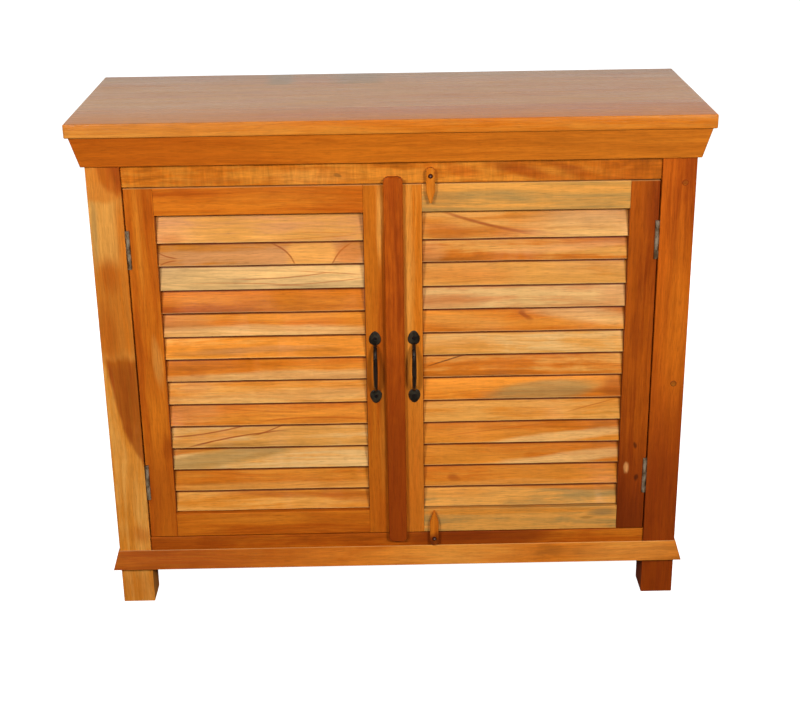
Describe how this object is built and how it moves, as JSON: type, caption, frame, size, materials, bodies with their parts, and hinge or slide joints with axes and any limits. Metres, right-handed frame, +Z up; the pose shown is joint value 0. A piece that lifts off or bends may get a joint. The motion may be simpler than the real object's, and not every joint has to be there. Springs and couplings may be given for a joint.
{
  "type": "sideboard",
  "caption": "Sideboard of solid wood with louvred doors on butt hinges, splayed cornice, base moulding, square legs, bowed pulls and wooden turn buttons.",
  "frame": {"origin": "on the floor, below the middle of the top board", "axes": "+X to the right seen from the front, +Y to the back, +Z up; the doors face -Y"},
  "size_m": [1.065, 0.41, 0.9],
  "materials": {
    "golden_wood": "glossy oiled hardwood, golden",
    "orange_wood": "glossy oiled hardwood, orange brown",
    "brown_wood": "glossy oiled hardwood, brown",
    "red_brown_wood": "glossy oiled hardwood, dark red brown",
    "top_wood": "glossy oiled hardwood, warm brown",
    "cornice_wood": "glossy oiled hardwood, deep orange brown",
    "moulding_wood": "glossy oiled hardwood, mixed brown and gold",
    "slat_wood": "glossy oiled hardwood, mixed light tones",
    "inner_wood": "oiled hardwood, plain",
    "hinge_metal": "aged steel, grey brown",
    "screw_metal": "dark aged steel",
    "handle_iron": "black wrought iron, waxed"
  },
  "bodies": {
    "carcase": {"leg_front_left": "golden_wood", "leg_front_right": "red_brown_wood", "leg_back_left": "brown_wood", "leg_back_right": "brown_wood", "front_top_rail": "golden_wood", "front_bottom_rail": "brown_wood", "back_top_rail": "inner_wood", "back_bottom_rail": "inner_wood", "left_side_top_rail": "inner_wood", "left_side_bottom_rail": "inner_wood", "right_side_top_rail": "inner_wood", "right_side_bottom_rail": "inner_wood", "left_side_panel": "inner_wood", "right_side_panel": "inner_wood", "back_panel": "inner_wood", "floor_board": "inner_wood", "shelf": "inner_wood", "floor_cleats": "inner_wood", "shelf_cleats": "inner_wood", "top_board_1": "top_wood", "top_board_2": "top_wood", "top_board_3": "top_wood", "top_board_4": "top_wood", "cornice_front": "cornice_wood", "cornice_left": "cornice_wood", "cornice_right": "cornice_wood", "base_moulding_front": "moulding_wood", "base_moulding_left": "moulding_wood", "base_moulding_right": "moulding_wood", "hinge_leg_leaves": "hinge_metal", "hinge_pins": "hinge_metal", "hinge_leg_screws": "screw_metal", "turn_button_screws": "screw_metal", "leg_plugs": "brown_wood"},
    "left_door": {"left_hinge_stile": "orange_wood", "left_meeting_stile": "orange_wood", "left_door_top_rail": "orange_wood", "left_door_bottom_rail": "brown_wood", "left_door_slats": "slat_wood", "left_hinge_door_leaves": "hinge_metal", "left_hinge_door_screws": "screw_metal", "left_handle": "handle_iron", "left_handle_screws": "handle_iron"},
    "right_door": {"right_hinge_stile": "red_brown_wood", "right_meeting_stile": "golden_wood", "right_door_top_rail": "golden_wood", "right_door_bottom_rail": "golden_wood", "right_door_slats": "slat_wood", "right_hinge_door_leaves": "hinge_metal", "right_hinge_door_screws": "screw_metal", "right_handle": "handle_iron", "right_handle_screws": "handle_iron", "astragal": "red_brown_wood"},
    "top_button": {"top_turn_button": "orange_wood"},
    "bottom_button": {"bottom_turn_button": "orange_wood"}
  },
  "joints": [
    {"name": "left_door_hinge", "type": "hinge", "parent": "carcase", "child": "left_door", "pos_m": [-0.4465, -0.176, 0.4595], "axis": [0, 0, -1], "range_deg": [0, 135]},
    {"name": "right_door_hinge", "type": "hinge", "parent": "carcase", "child": "right_door", "pos_m": [0.4465, -0.176, 0.4598], "axis": [0, 0, 1], "range_deg": [0, 135]},
    {"name": "top_button_pivot", "type": "hinge", "parent": "carcase", "child": "top_button", "pos_m": [0.0638, -0.1804, 0.7998], "axis": [0, -1, 0], "range_deg": [-70, 110]},
    {"name": "bottom_button_pivot", "type": "hinge", "parent": "carcase", "child": "bottom_button", "pos_m": [0.0675, -0.1804, 0.1222], "axis": [0, 1, 0], "range_deg": [-65, 100]}
  ]
}
